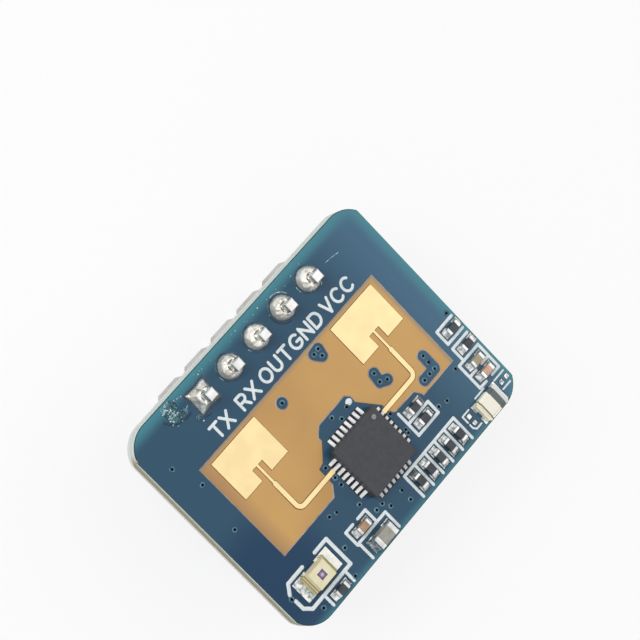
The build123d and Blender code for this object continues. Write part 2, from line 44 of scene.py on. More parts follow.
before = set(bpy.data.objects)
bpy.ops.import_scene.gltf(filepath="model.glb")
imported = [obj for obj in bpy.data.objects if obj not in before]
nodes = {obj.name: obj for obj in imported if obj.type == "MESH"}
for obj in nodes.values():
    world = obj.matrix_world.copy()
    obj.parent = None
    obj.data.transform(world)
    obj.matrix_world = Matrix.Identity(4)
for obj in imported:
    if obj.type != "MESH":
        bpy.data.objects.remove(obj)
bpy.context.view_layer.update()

MM = 0.001
MASK_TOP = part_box("front_mask")[1].z
REAR_MASK_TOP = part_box("rear_mask")[0].z
BOARD_LOW, BOARD_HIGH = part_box("circuit_board")
BOARD_MIDDLE = (BOARD_LOW + BOARD_HIGH) / 2
PIN_NAMES = ("tx", "rx", "out", "gnd", "vcc")
TENT_SIDE = (-0.35, 0.25, 0.9)
SHADE_MIDDLE = (-9.9 * MM, -11.0 * MM, BOARD_HIGH.z)
SMOOTH_LAND = (-6.5 * MM, -12.76 * MM, BOARD_HIGH.z)
EDGE_LAYERS = ("#f1efe8", "#e4e1d8", "#d3d0c6", "#bdb9a9", "#4c4731", "#a8a283", "#8f8966", "#c3c2ab",
               "#d9ebe6")

# The camera of the photograph, fitted to the board, and the studio's two lamps: place, size and energy
CAMERA_LENS = 131.06
CAMERA_SENSOR = 36.0
CAMERA_PLACE = (-0.047612, 0.027325, BOARD_HIGH.z + 0.130864)
CAMERA_TURN = ((0.61857, 0.69948, -0.35791), (-0.67823, 0.70531, 0.20626), (0.39671, 0.11516, 0.91069))
LAMPS = (("key_light", (-0.09, 0.12, 0.16), 0.12, 0.22), ("fill_light", (0.14, -0.05, 0.12), 0.16, 0.07))

# How far, in millimetres, these reach over the mask: its teal rim of painted reflection, its right end
# lightened by painted sheen, its corner of painted shade
MASK_RIM = (0.1, 1.05)
MASK_RIGHT_SHEEN = (1.5, 5.0)
MASK_SHADE = (2.2, 5.2)
MASK_BLEND = 1.2
# The glass fibres of the cut edge: their thickness, and how far they shake the layers, in millimetres
FIBRE = 0.09
FIBRE_SHAKE = 0.16

# Turned shapes, as radii and heights: solder in shares of its pad and joint, vias in shares of their radius
SIDE_HOLLOW = 0.05
DOME = ((1.0, 0.0), (0.995, 0.12), (0.97, 0.3), (0.92, 0.47), (0.85, 0.63), (0.77, 0.78), (0.68, 0.9),
        (0.6, 0.97), (0.53, 1.0), (0.48, 0.95), (0.44, 0.82), (0.39, 0.7))
STAR = ((1.0, 0.0), (0.97, 0.1), (0.89, 0.26), (0.8, 0.42), (0.71, 0.58), (0.63, 0.74), (0.56, 0.88),
        (0.51, 0.95), (0.47, 0.9), (0.44, 0.8), (0.39, 0.7))
VIA_RIM = ((1.0, 0.0), (0.85, 0.22), (0.66, 0.25), (0.46, 0.05))
VIA_PIT = ((0.46, 0.05), (0.0, 0.02))
# A ring and a film of flux with their radii as shares and their heights in millimetres, and a round bubble
FLUX_RING = ((0.97, 0.01), (1.02, 0.03), (1.08, 0.032), (1.14, 0.004))
FLUX_FILM = ((1.0, 0.0), (0.93, 0.04), (0.5, 0.05), (0.05, 0.05))
BUBBLE = ((1.0, 0.0), (0.95, 0.4), (0.7, 0.8), (0.3, 1.0))
# The chip's ejector mark and the torn burr of the board's corner, in millimetres
MARK_DISC = ((0.17, 0.0), (0.16, 0.004), (0.02, 0.004))
BURR_SHAPE = ((0.13, -0.9), (0.15, -0.5), (0.16, -0.1), (0.14, 0.03), (0.06, 0.035))
# How wide a turned shape's dents are, in millimetres
DENT = 0.27


def arc(cx, cy, rx, ry, start, finish, steps=14):
    """Points along part of an ellipse, from one angle in degrees to another."""
    points = []
    for step in range(steps + 1):
        angle = math.radians(start + (finish - start) * step / steps)
        points.append((cx + rx * math.cos(angle), cy + ry * math.sin(angle)))
    return points


# Dried flux beside the first pin, in millimetres: films with radii, ridges darkened with painted shade and
# painted glints with one real scratch among them, all with widths, and the line along which the other bubbles
# lie
FLUX_FILMS = ((-6.95, 1.02, 0.42), (-7.45, 0.85, 0.3), (-7.2, 0.3, 0.5), (-6.6, 0.2, 0.35),
              (-6.15, -0.75, 0.25))
FLUX_SHADE_RIDGES = (([(-8.01, 0.67), (-7.79, 0.31), (-7.5, 0.08), (-7.24, -0.04)], 0.13),
               ([(-6.9, -0.13), (-6.73, -0.17), (-6.33, -0.15)], 0.12),
               ([(-5.95, -0.98), (-5.4, -1.12)], 0.08),
               (arc(-2.54, 0, 0.9, 0.9, 165, 250), 0.1), (arc(0, 0, 0.9, 0.9, 150, 235), 0.1),
               (arc(2.54, 0, 0.95, 0.95, 170, 260), 0.13), (arc(5.08, 0, 0.9, 0.9, 165, 215), 0.08))
FLUX_GLINTS_AND_SCRATCH = (([(6.7, -0.15), (7.25, -0.21), (7.8, -0.32)], 0.05),
               ([(-7.46, 0.49), (-6.9, 0.46)], 0.13),
               ([(-6.51, 0.2), (-6.18, 0.29)], 0.08), ([(-6.24, -0.68), (-6.2, -0.7)], 0.09),
               ([(-6.11, -1.05), (-6.08, -1.07)], 0.09),
               (arc(2.54, 0, 0.98, 0.98, 25, 95), 0.07), (arc(2.54, 0, 0.95, 0.95, 165, 190), 0.06),
               (arc(5.08, 0, 0.94, 0.94, 170, 192), 0.06), (arc(5.08, 0, 0.97, 0.97, 295, 305), 0.06),
               (arc(0, 0, 0.93, 0.93, 192, 204), 0.06), (arc(-2.54, 0, 0.93, 0.93, 178, 200), 0.05))
FLUX_LINE = ((-7.6, 1.3), (5.6, 1.0))
BURR = (-10.77, 0.27)
CHIP_MARK = (1.6, -8.7)
# Colours across the crystal and the light sensor, each at its place along the board in millimetres; the
# crystal's dark grey band near its right end is a painted reflection
CRYSTAL_BANDS_AND_REFLECTION = ((7.22, "#f3edd8"), (7.46, "#f3edd8"), (7.48, "#6b5f45"), (7.55, "#6b5f45"),
                 (7.58, "#fbf7e8"), (8.4, "#fbf7e8"), (8.44, "#586362"), (8.86, "#5d6766"),
                 (8.9, "#dfe4e1"), (9.22, "#e8ece9"))
SENSOR_BANDS = ((-8.88, "#d6cc9b"), (-8.8, "#776d42"), (-8.74, "#e6dcae"), (-8.62, "#7d7347"),
                (-8.56, "#f6ebc4"), (-7.14, "#f6ebc4"), (-7.08, "#7d7347"), (-6.98, "#e6dcae"),
                (-6.91, "#776d42"), (-6.82, "#d6cc9b"))
# The die's violet coating round its bright bond pad, from its middle out, darkening at its border into
# painted shade
DIE_TINT_AND_SHADE = ("#ffffff", "#fbf4fc", "#b095c4", "#9a7db2", "#7d6094", "#4b3450")
DIE_REACH = 0.36 * MM
# The bare window's left, right, top and bottom, in millimetres
WINDOW = (-8.6, 8.5, -2.75, -10.6)
# The mask's patch in the window, round the chip: half its width, and its top
CHIP_PATCH = (3.3, -7.6)
# The chip's middle, and how wide and how far out its rows of leads are
CHIP_MIDDLE = sum(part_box("radar_chip_body"), Vector()) / 2
CHIP_ROW_HALF = 1.62 * MM
CHIP_ROW_REACH = 2.6 * MM

# The pin labels, as brush strokes on a grid one letter high, and the span each label fills in millimetres
LABEL_SPANS = (
    ("TX", -6.33, -4.58),
    ("RX", -3.88, -2.08),
    ("OUT", -1.73, 1.05),
    ("GND", 1.17, 4.06),
    ("VCC", 4.35, 7.14),
)
LABEL_BASE = -2.51
LABEL_HEIGHT = 0.87
LETTER_GAP = 0.34
LETTERS = {
    "T": (0.74, [[(0, 1), (0.74, 1)], [(0.37, 1), (0.37, 0)]]),
    "X": (0.72, [[(0, 0), (0.72, 1)], [(0, 1), (0.72, 0)]]),
    "R": (0.68, [[(0, 0), (0, 1)], [(0, 1), *arc(0.38, 0.73, 0.28, 0.27, 90, -90), (0, 0.46)],
                 [(0.38, 0.46), (0.68, 0)]]),
    "O": (0.9, [arc(0.45, 0.5, 0.45, 0.5, 0, 360, 28)]),
    "U": (0.72, [[(0, 1), *arc(0.36, 0.36, 0.36, 0.36, 180, 360), (0.72, 1)]]),
    "G": (0.84, [[*arc(0.45, 0.5, 0.45, 0.5, 48, 328, 24), (0.84, 0.46)], [(0.84, 0.46), (0.5, 0.46)]]),
    "N": (0.74, [[(0, 0), (0, 1)], [(0, 1), (0.74, 0)], [(0.74, 0), (0.74, 1)]]),
    "D": (0.78, [[(0, 0), (0, 1)], [(0, 1), *arc(0.34, 0.5, 0.44, 0.5, 90, -90), (0, 0)]]),
    "V": (0.8, [[(0, 1), (0.4, 0)], [(0.4, 0), (0.8, 1)]]),
    "C": (0.82, [arc(0.45, 0.5, 0.45, 0.5, 45, 315, 24)]),
}

# The printed frames round the parts, in millimetres: line width and runs
PRINTED_FRAMES = (
    (0.27, [
        [(-6.98, -11.66), (-5.85, -11.66), (-5.85, -13.87), (-9.57, -13.87), (-9.99, -13.4), (-9.99, -12.74)],
        [(-9.99, -12.2), (-9.57, -11.66), (-8.2, -11.66)],
    ]),
    (0.22, [
        [(-8.46, -13.9), (-8.46, -14.74)],
        [(-6.44, -13.9), (-6.44, -14.74)],
        [(-4.0, -12.38), (-4.69, -12.38), (-4.69, -13.45), (-4.55, -13.6), (-4.55, -14.74)],
        [(-3.5, -12.38), (-2.74, -12.38), (-2.74, -13.4)],
        [(-4.65, -13.45), (-1.9, -13.45), (-1.9, -14.74)],
        [(3.22, -10.05), (3.22, -11.94), (5.24, -11.94), (5.24, -10.96)],
        [(3.22, -10.96), (5.24, -10.96)],
        [(10.44, -8.49), (8.92, -8.49), (8.92, -9.56), (10.44, -9.56)],
        [(10.44, -9.98), (8.92, -9.98), (8.92, -11.04)],
        [(9.08, -13.04), (8.44, -13.04), (8.44, -11.04), (10.41, -11.04), (10.41, -13.04), (9.7, -13.04)],
        [(8.5, -12.05), (9.08, -12.05)],
        [(9.7, -12.05), (10.4, -12.05)],
        [(0.632, -12.93), (5.712, -12.93)],
        *[[(0.632 + 1.016 * k, -12.93), (0.632 + 1.016 * k, -14.72)] for k in range(6)],
    ]),
    (0.13, [
        [(6.84, -13.36), (6.2, -13.36), (6.2, -13.88)],
        [(6.2, -14.08), (6.2, -14.36), (6.38, -14.58), (6.86, -14.58)],
        [(7.7, -13.22), (8.6, -13.22)],
        [(9.5, -13.42), (10.45, -13.42)],
        [(9.55, -14.25), (10.3, -14.25)],
    ]),
)
PIN_ONE_DOT = ([(1.39, -7.1), (1.43, -7.1)], 0.46)
# Lines beside the rear parts: their gap to the part, their width, and the length of a chip's corner lines
REAR_GAP = 0.25
REAR_LINE = 0.15
REAR_CORNER = 0.7
# A brush stroke this wide has its full height, and its round ends narrow at these angles
FULL_STROKE = 0.22
END_ANGLES = (15, 40, 65)

# Small plated through holes under the mask, in millimetres
MASK_VIAS = (
    (-9.64, -1.59), (-8.99, -3.62), (-9.53, -6.93), (-4.72, -10.94), (-4.17, -11.1), (-2.77, -11.89),
    (-2.21, -12.96), (-1.67, -12.96), (-1.35, -13.49), (-9.05, -14.37), (-5.4, -12.95), (-10.1, -12.47),
    (-6.19, -14.62), (-2.68, -8.73), (-2.68, -9.59), (-2.71, -10.17), (-0.13, -6.96), (0.31, -7.48),
    (1.09, -7.22), (2.83, -9.63), (2.86, -11.06), (2.83, -11.3), (5.52, -11.72), (6.21, -11.89),
    (8.13, -10.96), (10.3, -8.14), (-0.13, -13.39), (-0.13, -14.2),
)
ISLAND_VIAS = (
    (-1.76, -3.97), (1.94, -3.47), (2.39, -3.42), (2.28, -3.89), (3.93, -7.14), (3.82, -7.77),
    (4.3, -8.03), (7.13, -8.81), (7.11, -9.34), (7.11, -9.91), (6.62, -9.89), (6.07, -9.91),
)


def linear(colour):
    """Turns an sRGB hex colour into linear red, green, blue and alpha; a linear colour stays as it is."""
    if not isinstance(colour, str):
        return tuple(colour)
    channels = [int(colour[i:i + 2], 16) / 255 for i in (1, 3, 5)]
    return (*[c / 12.92 if c <= 0.04045 else ((c + 0.055) / 1.055) ** 2.4 for c in channels], 1.0)


def add_node(tree, kind, settings=None, links=None):
    """Adds one shader node with its settings, fed by sockets or by the first outputs of other nodes."""
    node = tree.nodes.new("ShaderNode" + kind)
    for key, value in (settings or {}).items():
        if isinstance(key, int) or key in node.inputs:
            node.inputs[key].default_value = value
        else:
            setattr(node, key, value)
    for key, source in (links or {}).items():
        socket = source.outputs[0] if isinstance(source, bpy.types.Node) else source
        tree.links.new(socket, node.inputs[key])
    return node


def new_material(name, settings):
    """Starts a material with its shader's own values, and returns it with its tree, shader and place."""
    material = bpy.data.materials.new(name)
    material.use_nodes = True
    tree = material.node_tree
    shader = tree.nodes["Principled BSDF"]
    for key, value in settings.items():
        shader.inputs[key].default_value = value
    return material, tree, shader, add_node(tree, "TexCoord").outputs["Object"]


def noise_scale(width_mm):
    """The scale at which a noise has blotches of about this width."""
    return 0.7 / (width_mm * MM)


def grain(tree, shader, place, width_mm, strength, height_mm):
    """Feeds the shader a fine bump whose bumps are about width_mm wide and height_mm high."""
    speckle = add_node(tree, "TexNoise", {"Scale": noise_scale(width_mm), "Detail": 3.0}, {"Vector": place})
    bump = add_node(tree, "Bump", {"Strength": strength, "Distance": height_mm * MM}, {"Height": speckle})
    tree.links.new(bump.outputs["Normal"], shader.inputs["Normal"])


def spread(tree, value, low, high, colours, stops=None):
    """Colours a value: the colours lie evenly between low and high, or at the given shares of the way."""
    stops = stops or [number / (len(colours) - 1) for number in range(len(colours))]
    share = add_node(tree, "MapRange", {"From Min": low, "From Max": high}, {"Value": value})
    ramp = add_node(tree, "ValToRGB", {}, {"Fac": share})
    first, last = ramp.color_ramp.elements
    first.color, last.color = linear(colours[0]), linear(colours[-1])
    for stop, colour in list(zip(stops, colours))[1:-1]:
        ramp.color_ramp.elements.new(stop).color = linear(colour)
    return ramp.outputs["Color"]


def blotches(tree, place, width_mm, *colours):
    """Soft blotches about width_mm wide, from the first colour to the last."""
    cloud = add_node(tree, "TexNoise", {"Scale": noise_scale(width_mm), "Detail": 2.0}, {"Vector": place})
    return spread(tree, cloud, 0.35, 0.65, colours)


def mixed_colour(tree, share, first, second):
    """Mixes two colours, each a colour or a socket, by a share."""
    settings, links = {"data_type": "RGBA"}, {0: share}
    for key, colour in ((6, first), (7, second)):
        if isinstance(colour, bpy.types.NodeSocket):
            links[key] = colour
        else:
            settings[key] = linear(colour)
    return add_node(tree, "Mix", settings, links).outputs[2]


def sides_from(tree, place, middle):
    """How far a place lies from a middle along each axis."""
    off = add_node(tree, "VectorMath", {"operation": "SUBTRACT", 1: middle}, {0: place})
    off = add_node(tree, "VectorMath", {"operation": "ABSOLUTE"}, {0: off})
    return add_node(tree, "SeparateXYZ", {}, {"Vector": off}).outputs


def solder_mask_material(colours):
    """Liquid solder mask, printed and cured: glossy and deep blue, with a teal rim of painted reflection
    along its edges, painted sheen towards its right end and painted shade at its lower left.
    """
    material, tree, shader, place = new_material(
        "blue_solder_mask", {"Roughness": 0.22, "IOR": 1.5, "Specular IOR Level": 0.35})
    rim_start, rim_end, sheen_start, sheen_end, shade_start, shade_end = [
        reach * MM for reach in MASK_RIM + MASK_RIGHT_SHEEN + MASK_SHADE]
    above = add_node(tree, "VectorMath", {"operation": "SUBTRACT", 0: BOARD_HIGH}, {1: place})
    below = add_node(tree, "VectorMath", {"operation": "SUBTRACT", 1: BOARD_LOW}, {0: place})
    high = add_node(tree, "SeparateXYZ", {}, {"Vector": above}).outputs
    low = add_node(tree, "SeparateXYZ", {}, {"Vector": below}).outputs
    corner = add_node(tree, "Math", {"operation": "SMOOTH_MIN", 2: MASK_BLEND * MM},
                      {0: high["X"], 1: high["Y"]})
    # A teal rim of painted reflection runs along the long sides and the right end, narrower at the lower side
    lower = add_node(tree, "Math", {"operation": "ADD", 1: 0.4 * MM}, {0: low["Y"]})
    rim = add_node(tree, "Math", {"operation": "SMOOTH_MIN", 2: MASK_BLEND * MM}, {0: corner, 1: lower})
    # Painted sheen lightens the mask towards its right end
    inland = add_node(tree, "MapRange", {"From Min": sheen_start, "From Max": sheen_end},
                      {"Value": high["X"]})
    inner = mixed_colour(tree, inland, colours.mask_right_sheen, colours.mask_middle)
    reach = add_node(tree, "VectorMath", {"operation": "DISTANCE", 1: SHADE_MIDDLE}, {0: place})
    shade = add_node(tree, "MapRange",
                     {"From Min": shade_start, "From Max": shade_end, "interpolation_type": "SMOOTHSTEP"},
                     {"Value": reach.outputs["Value"]})
    inner = mixed_colour(tree, shade, colours.mask_shade, inner)
    edge = add_node(tree, "MapRange",
                    {"From Min": rim_start, "From Max": rim_end, "interpolation_type": "SMOOTHSTEP"},
                    {"Value": rim})
    # The lower left corner stays in shade up to its rim
    away = add_node(tree, "Math", {"operation": "MULTIPLY_ADD", 1: -0.85, 2: 0.85}, {0: shade})
    kept = add_node(tree, "Math", {"operation": "MAXIMUM"}, {0: edge, 1: away})
    tree.links.new(mixed_colour(tree, kept, colours.mask_edge_sheen, inner), shader.inputs["Base Color"])
    grain(tree, shader, place, 0.35, 0.12, 0.003)
    return material


def bare_laminate(tree, place, parts, colours):
    """The laminate's open face: tan in the window, browner by its borders, dark with painted shade between
    the chip's leads, and dark elsewhere.
    """
    left, right, top, bottom = [edge * MM for edge in WINDOW]
    bare = blotches(tree, place, 4, colours.laminate_shade, colours.laminate)
    inland = add_node(tree, "MapRange",
                      {"From Min": left, "From Max": left + 1.3 * MM, "To Min": 0.1}, {"Value": parts["X"]})
    bare = mixed_colour(tree, inland, "#a57f5c", bare)
    # A browner border runs along the window's top and right sides
    from_top = add_node(tree, "Math", {"operation": "SUBTRACT", 0: top}, {1: parts["Y"]})
    from_right = add_node(tree, "Math", {"operation": "SUBTRACT", 0: right}, {1: parts["X"]})
    nearest = add_node(tree, "Math", {"operation": "MINIMUM"}, {0: from_top, 1: from_right})
    border = add_node(tree, "MapRange", {"From Max": 0.45 * MM}, {"Value": nearest})
    bare = mixed_colour(tree, border, "#948a7c", bare)
    # Outside the window the laminate shows only as dark lines round the lands and the mask's rim
    off = sides_from(tree, place, Vector(((left + right) / 2, (top + bottom) / 2, BOARD_HIGH.z)))
    beside = add_node(tree, "Math", {"operation": "GREATER_THAN", 1: (right - left) / 2}, {0: off["X"]})
    past = add_node(tree, "Math", {"operation": "GREATER_THAN", 1: (top - bottom) / 2}, {0: off["Y"]})
    outside = add_node(tree, "Math", {"operation": "MAXIMUM"}, {0: beside, 1: past})
    bare = mixed_colour(tree, outside, bare, "#20414a")
    # Beneath the chip's rows of leads the open laminate is painted dark, as painted shade between the leads
    off = sides_from(tree, place, CHIP_MIDDLE)
    narrow = add_node(tree, "Math", {"operation": "MINIMUM"}, {0: off["X"], 1: off["Y"]})
    wide = add_node(tree, "Math", {"operation": "MAXIMUM"}, {0: off["X"], 1: off["Y"]})
    in_row = add_node(tree, "Math", {"operation": "LESS_THAN", 1: CHIP_ROW_HALF}, {0: narrow})
    near = add_node(tree, "Math", {"operation": "LESS_THAN", 1: CHIP_ROW_REACH}, {0: wide})
    lead_gap_shade = add_node(tree, "Math", {"operation": "MULTIPLY"}, {0: in_row, 1: near})
    return mixed_colour(tree, lead_gap_shade, bare, "#23272a")


def cut_edge(tree, parts, fibre):
    """The laminate's cut sides: layers that the fibres shake, paler where the header's side is routed."""
    shake = FIBRE_SHAKE * MM
    level = add_node(tree, "Math", {"operation": "MULTIPLY_ADD", 1: shake}, {0: fibre, 2: parts["Z"]})
    layers = spread(tree, level, BOARD_LOW.z + shake / 2, BOARD_HIGH.z + shake / 2, EDGE_LAYERS)
    routed = add_node(tree, "MapRange",
                      {"From Min": 0.15 * MM, "From Max": 0.7 * MM, "To Max": 0.85}, {"Value": parts["Y"]})
    return mixed_colour(tree, routed, layers, "#d3dcd8")


def laminate_material(colours):
    """Glass and epoxy laminate: tan and satin where it lies bare, layered and fibrous on its cut edge."""
    material, tree, shader, place = new_material(
        "glass_epoxy_laminate", {"Roughness": 0.42, "IOR": 1.52, "Specular IOR Level": 0.35})
    parts = add_node(tree, "SeparateXYZ", {}, {"Vector": place}).outputs
    fibre_place = add_node(tree, "Mapping", {"Scale": (0.3, 0.3, 1.6)}, {"Vector": place})
    fibre = add_node(tree, "TexNoise", {"Scale": noise_scale(FIBRE), "Detail": 4.0},
                     {"Vector": fibre_place})
    at_edge = add_node(tree, "Math", {"operation": "LESS_THAN", 1: BOARD_HIGH.z - 0.01 * MM},
                       {0: parts["Z"]})
    open_face = bare_laminate(tree, place, parts, colours)
    colour = mixed_colour(tree, at_edge, open_face, cut_edge(tree, parts, fibre))
    tree.links.new(colour, shader.inputs["Base Color"])
    rough = add_node(tree, "Math", {"operation": "MULTIPLY"}, {0: fibre, 1: at_edge})
    bump = add_node(tree, "Bump", {"Strength": 0.6, "Distance": 0.05 * MM}, {"Height": rough})
    tree.links.new(bump.outputs["Normal"], shader.inputs["Normal"])
    return material


def blotched_material(name, settings, width_mm, colours, bumps=None):
    """A material with soft blotches, and with fine bumps where their width, strength and height are given."""
    material, tree, shader, place = new_material(name, settings)
    tree.links.new(blotches(tree, place, width_mm, *colours), shader.inputs["Base Color"])
    if bumps:
        grain(tree, shader, place, *bumps)
    return material


def gold_material(name, colour, roughness):
    """Copper with a thin immersion gold: pale, satin, and finely grained from the copper's etching."""
    light = linear(colour)
    dark = (*[0.92 * channel for channel in light[:3]], 1.0)
    return blotched_material(name, {"Metallic": 0.75, "Roughness": roughness}, 0.8, (dark, light),
                             (0.05, 0.12, 0.003))


def solder_material(name, dark, light, roughness, grain_mm, height_mm=0.02, metallic=1.0):
    """Tin solder that froze bright: mirror-like, with dull patches where it shrank."""
    return blotched_material(name, {"Metallic": metallic, "Roughness": roughness}, 3 * grain_mm,
                             (dark, light), (grain_mm, 0.35, height_mm))


def calm_solder(material, middle, colour):
    """Makes the solder smooth and evenly bright round one place."""
    tree = material.node_tree
    shader = tree.nodes["Principled BSDF"]
    bump = shader.inputs["Normal"].links[0].from_node
    mottled = shader.inputs["Base Color"].links[0].from_socket
    place = add_node(tree, "TexCoord").outputs["Object"]
    away = add_node(tree, "VectorMath", {"operation": "DISTANCE", 1: middle}, {0: place})
    share = add_node(tree, "MapRange", {"From Min": 1.0 * MM, "From Max": 1.2 * MM, "To Min": 0.15},
                     {"Value": away.outputs["Value"]})
    tree.links.new(mixed_colour(tree, share, colour, mottled), shader.inputs["Base Color"])
    full = bump.inputs["Strength"].default_value
    strength = add_node(tree, "Math", {"operation": "MULTIPLY", 1: full}, {0: share})
    tree.links.new(strength.outputs[0], bump.inputs["Strength"])


def moulded_material(name, colour, shade, roughness, grain_mm, height_mm=0.006):
    """Moulded plastic or fired ceramic: one even colour with a fine matte grain."""
    return blotched_material(name, {"Roughness": roughness, "IOR": 1.5}, 4 * grain_mm, (shade, colour),
                             (grain_mm, 0.4, height_mm))


def banded_material(name, bands, roughness):
    """A part with bands across its length, as its plating and its moulding line leave them, and on the
    crystal a band of painted reflection.
    """
    material, tree, shader, place = new_material(name, {"Roughness": roughness})
    start, finish = bands[0][0], bands[-1][0]
    parts = add_node(tree, "SeparateXYZ", {}, {"Vector": place}).outputs
    colour = spread(tree, parts["X"], start * MM, finish * MM, [colour for x, colour in bands],
                    [(x - start) / (finish - start) for x, colour in bands])
    tree.links.new(colour, shader.inputs["Base Color"])
    grain(tree, shader, place, 0.08, 0.2, 0.003)
    return material


def dress(material, *names):
    """Gives CAD nodes a finished material in place of the plain one."""
    for name in names:
        mesh = nodes[name].data
        mesh.materials.clear()
        mesh.materials.append(material)


def named_nodes(*endings):
    """CAD nodes whose names end in any of the given words."""
    return [name for name in sorted(nodes) if name.endswith(endings)]


def finished(name, mesh, material, slot, *replaced):
    """Puts a finished mesh in the scene as a piece that rides with the board."""
    mesh.name = name
    if not mesh.materials:
        mesh.materials.append(material)
    piece = bpy.data.objects.new(name, mesh)
    bpy.context.scene.collection.objects.link(piece)
    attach(piece, "root")
    if replaced:
        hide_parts(*replaced)


def mesh_from(builder, smooth=True):
    """Turns a bmesh into a mesh with its doubles merged and its normals out."""
    bmesh.ops.remove_doubles(builder, verts=builder.verts, dist=1e-7)
    bmesh.ops.recalc_face_normals(builder, faces=builder.faces)
    mesh = bpy.data.meshes.new("piece")
    builder.to_mesh(mesh)
    builder.free()
    if smooth:
        mesh.shade_smooth()
    return mesh


def sized(shape, across, up):
    """A turned shape's radii and heights, from their shares."""
    return [(share * across, rise * up) for share, rise in shape]


def spot(x, y, level):
    """A place on a level, with x and y in millimetres."""
    return Vector((x * MM, y * MM, level))


def lathe(builder, centre, profile, turns=48, wobble=0.0, squared=None, capped=True, slot=0):
    """Turns radii and heights round an upright axis, squared between two radii and dented by noise."""
    turned = bmesh.new()
    rail = [turned.verts.new((radius, 0, height)) for radius, height in profile]
    lines = [turned.edges.new(ends) for ends in zip(rail, rail[1:])]
    bmesh.ops.spin(turned, geom=rail + lines, cent=(0, 0, 0), axis=(0, 0, 1), angle=2 * math.pi, steps=turns,
                   use_merge=True)
    if capped:
        bmesh.ops.holes_fill(turned, edges=turned.edges)
    for vert in turned.verts:
        if squared:
            radius = vert.co.xy.length
            across, along = vert.co.xy / radius
            corner = (1 - SIDE_HOLLOW * (across ** 2 - along ** 2) ** 2) / max(abs(across), abs(along))
            share = min(max((radius - squared[0]) / (squared[1] - squared[0]), 0), 1)
            vert.co.xy *= 1 + share * (corner - 1)
        dent = wobble * (0.5 + 0.5 * noise.noise((centre + vert.co) / (DENT * MM)))
        vert.co = (vert.co.x * (1 - dent), vert.co.y * (1 - dent), vert.co.z * (1 - 2.5 * dent))
    for face in turned.faces:
        face.material_index = slot
    bmesh.ops.translate(turned, verts=turned.verts, vec=centre)
    part = bpy.data.meshes.new("turned")
    turned.to_mesh(part)
    turned.free()
    builder.from_mesh(part)
    bpy.data.meshes.remove(part)


def rim_mesh(plates, width, inside):
    """A sloping rim along the upright walls of thin CAD plates, where inside(x, y) allows it."""
    low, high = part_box(plates[0])
    builder = bmesh.new()
    for plate in plates:
        builder.from_mesh(nodes[plate].data)
    bmesh.ops.remove_doubles(builder, verts=builder.verts, dist=1e-7)
    feet = []
    lean = {}
    for edge in builder.edges:
        start, finish = [vert.co for vert in edge.verts]
        walls = [face for face in edge.link_faces if abs(face.normal.z) <= 0.1]
        at_foot = abs(start.z - low.z) < 1e-6 and abs(finish.z - low.z) < 1e-6
        if walls and at_foot and inside(*((start + finish).xy / 2 / MM)):
            feet.append(edge)
            for vert in edge.verts:
                lean[vert] = lean.get(vert, Vector()) + walls[0].normal
    # Only the feet of the walls stay, and are drawn out into the rim
    kept = set(feet)
    bmesh.ops.delete(builder, geom=list(builder.faces), context="FACES_ONLY")
    bmesh.ops.delete(builder, geom=[edge for edge in builder.edges if edge not in kept], context="EDGES")
    bmesh.ops.extrude_edge_only(builder, edges=feet)
    for vert, normal in lean.items():
        outer = next(end for end in (edge.other_vert(vert) for edge in vert.link_edges) if end not in lean)
        outer.co.xy += normal.xy.normalized() * width
        vert.co.z += 0.7 * (high.z - low.z)
    builder.normal_update()
    bmesh.ops.reverse_faces(builder, faces=[face for face in builder.faces if face.normal.z < 0])
    mesh = bpy.data.meshes.new("rim")
    builder.to_mesh(mesh)
    builder.free()
    return mesh


def brush_mesh(strokes, level, height):
    """Ink laid in strokes with round ends, each a flattened tube along its points, in millimetres."""
    curve = bpy.data.curves.new("brush", "CURVE")
    curve.dimensions = "3D"
    curve.bevel_depth = 1.0
    curve.bevel_resolution = 2
    curve.use_fill_caps = True
    angles = [math.radians(angle) for angle in END_ANGLES]
    for points, width in strokes:
        path = [Vector((x, y, 0)) for x, y in points]
        first = (path[1] - path[0]).normalized()
        last = (path[-1] - path[-2]).normalized()
        half = width / 2
        laid = [(place, half) for place in path]
        if (path[0] - path[-1]).length >= 0.001:
            tips = [(half * math.cos(angle), half * math.sin(angle)) for angle in angles]
            laid = ([(path[0] - first * reach, radius) for reach, radius in tips] + laid
                    + [(path[-1] + last * reach, radius) for reach, radius in reversed(tips)])
        spline = curve.splines.new("POLY")
        spline.points.add(len(laid) - 1)
        for point, (place, radius) in zip(spline.points, laid):
            point.co = (*place, 1)
            point.radius = radius
    drawn = bpy.data.objects.new("brush", curve)
    bpy.context.scene.collection.objects.link(drawn)
    bpy.context.view_layer.update()
    graph = bpy.context.evaluated_depsgraph_get()
    mesh = bpy.data.meshes.new_from_object(drawn.evaluated_get(graph))
    bpy.data.objects.remove(drawn)
    bpy.data.curves.remove(curve)
    flatten = Matrix.Diagonal((MM, MM, height / (FULL_STROKE / 2), 1))
    mesh.transform(Matrix.Translation((0, 0, level)) @ flatten)
    mesh.shade_smooth()
    return mesh


def runs_to_strokes(runs, width):
    """Cuts bent runs into straight strokes, so that every corner is round."""
    return [([start, finish], width) for run in runs for start, finish in zip(run, run[1:])]


